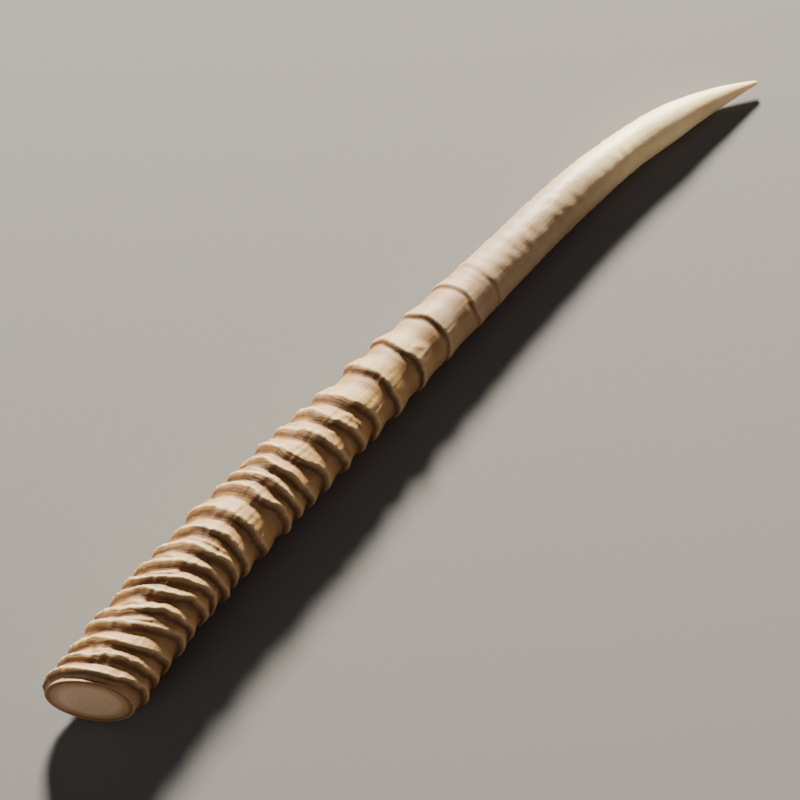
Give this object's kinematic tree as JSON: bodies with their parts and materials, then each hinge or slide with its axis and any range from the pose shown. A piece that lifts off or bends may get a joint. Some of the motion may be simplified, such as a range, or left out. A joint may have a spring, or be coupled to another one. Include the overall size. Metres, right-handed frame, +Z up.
{
  "type": "gemsbok horn",
  "caption": "Long, gently curved antelope horn with oblique raised rings over its lower part and a smooth pointed tip, sawn off flat at the base and lying on its side.",
  "frame": {"origin": "centre of the bounding box, on the surface the horn lies on", "axes": "+X from the sawn base to the tip, +Y to the outer side of the bend, +Z up"},
  "size_m": [0.887, 0.0932, 0.0755],
  "materials": {
    "horn": "dry natural horn: pale pinkish beige with brown grooves between the rings, cream on the crests and towards the tip, matt with a faint sheen"
  },
  "bodies": {
    "root": {"horn": "horn"}
  },
  "joints": []
}
